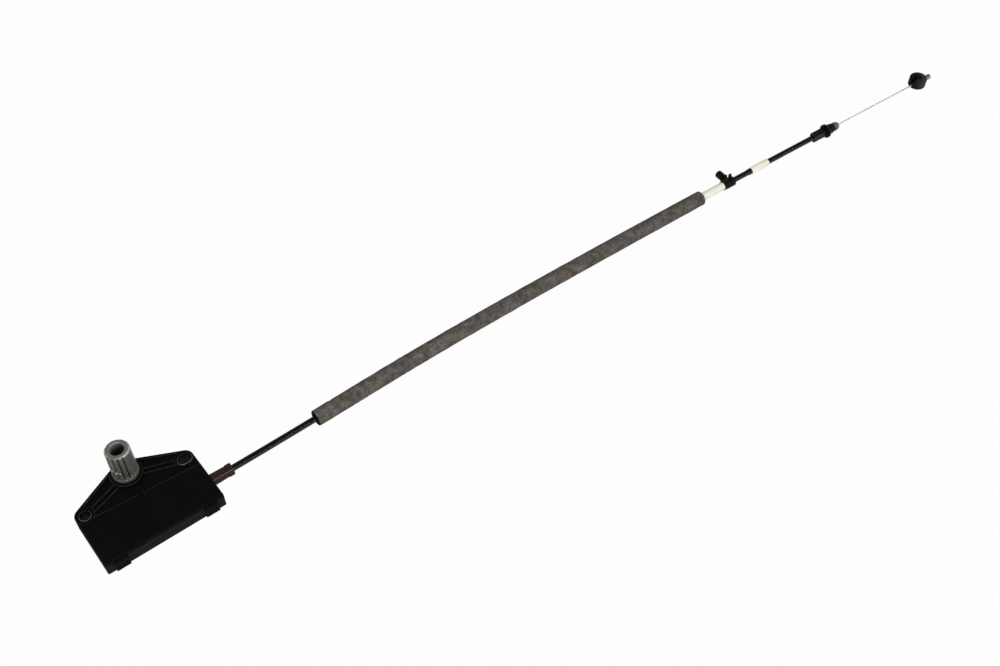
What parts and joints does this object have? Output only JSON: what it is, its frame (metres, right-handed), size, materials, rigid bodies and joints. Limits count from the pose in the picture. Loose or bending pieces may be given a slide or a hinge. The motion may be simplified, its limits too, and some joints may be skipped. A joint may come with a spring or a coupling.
{
  "type": "rotary cable actuator",
  "caption": "Flat housing with bolt ears and a splined hollow shaft that winds in a control cable; foam-sleeved cable with side clip, end fitting, bare wire and button.",
  "frame": {"origin": "where the shaft's axis meets the housing's flat mounting face", "axes": "+Z along the shaft, out of the housing; +X along the housing's long side, towards the cable outlet; +Y from the raised plate towards the shaft"},
  "size_m": [0.8609, 0.0749, 0.0422],
  "materials": {
    "cover_plastic": "fine moulded texture, black",
    "tray_plastic": "smooth moulded, dark grey",
    "bush_steel": "zinc plated",
    "die_cast": "as cast, dull grey",
    "washer_plastic": "moulded, black",
    "gear_plastic": "moulded, natural",
    "clip_steel": "phosphated",
    "spring_steel": "oiled wire",
    "gland_plastic": "moulded, brown",
    "conduit_sheath": "extruded, satin black",
    "foam": "cut foam, grey",
    "white_sleeve": "smooth, white",
    "clip_plastic": "moulded, black",
    "fitting_plastic": "moulded, black",
    "wire_steel": "stranded, bright",
    "button_plastic": "moulded, black",
    "ferrule_metal": "bright"
  },
  "bodies": {
    "housing": {"base_tray": "tray_plastic", "cover": "cover_plastic", "round_bush": "bush_steel", "slotted_bush": "bush_steel", "thrust_washer": "washer_plastic", "brake_spring": "spring_steel", "conduit_gland": "gland_plastic", "conduit": "conduit_sheath", "foam_sleeve": "foam", "near_band": "white_sleeve", "far_band": "white_sleeve", "cable_clip": "clip_plastic", "end_fitting": "fitting_plastic"},
    "shaft": {"drive_shaft": "die_cast", "pinion": "gear_plastic", "shaft_clip": "clip_steel"},
    "slider": {"rack_slider": "gear_plastic", "wire_nipple": "ferrule_metal", "wire_root": "wire_steel"},
    "wire_end": {"exposed_wire": "wire_steel", "end_button": "button_plastic", "end_ferrule": "ferrule_metal"}
  },
  "joints": [
    {"name": "shaft_turn", "type": "hinge", "parent": "housing", "child": "shaft", "pos_m": [0, 0, 0], "axis": [0, 0, -1], "range_deg": [0, 180]},
    {"name": "slider_travel", "type": "slide", "parent": "housing", "child": "slider", "axis": [-1, 0, 0], "range_m": [0, 0.02514]},
    {"name": "wire_travel", "type": "slide", "parent": "housing", "child": "wire_end", "axis": [-0.9989, 0.0463, 0], "range_m": [0, 0.02514]}
  ],
  "couplings": [
    {"joint": "slider_travel", "follows": "shaft_turn", "m_per_rad": 0.008},
    {"joint": "wire_travel", "follows": "shaft_turn", "m_per_rad": 0.008}
  ]
}
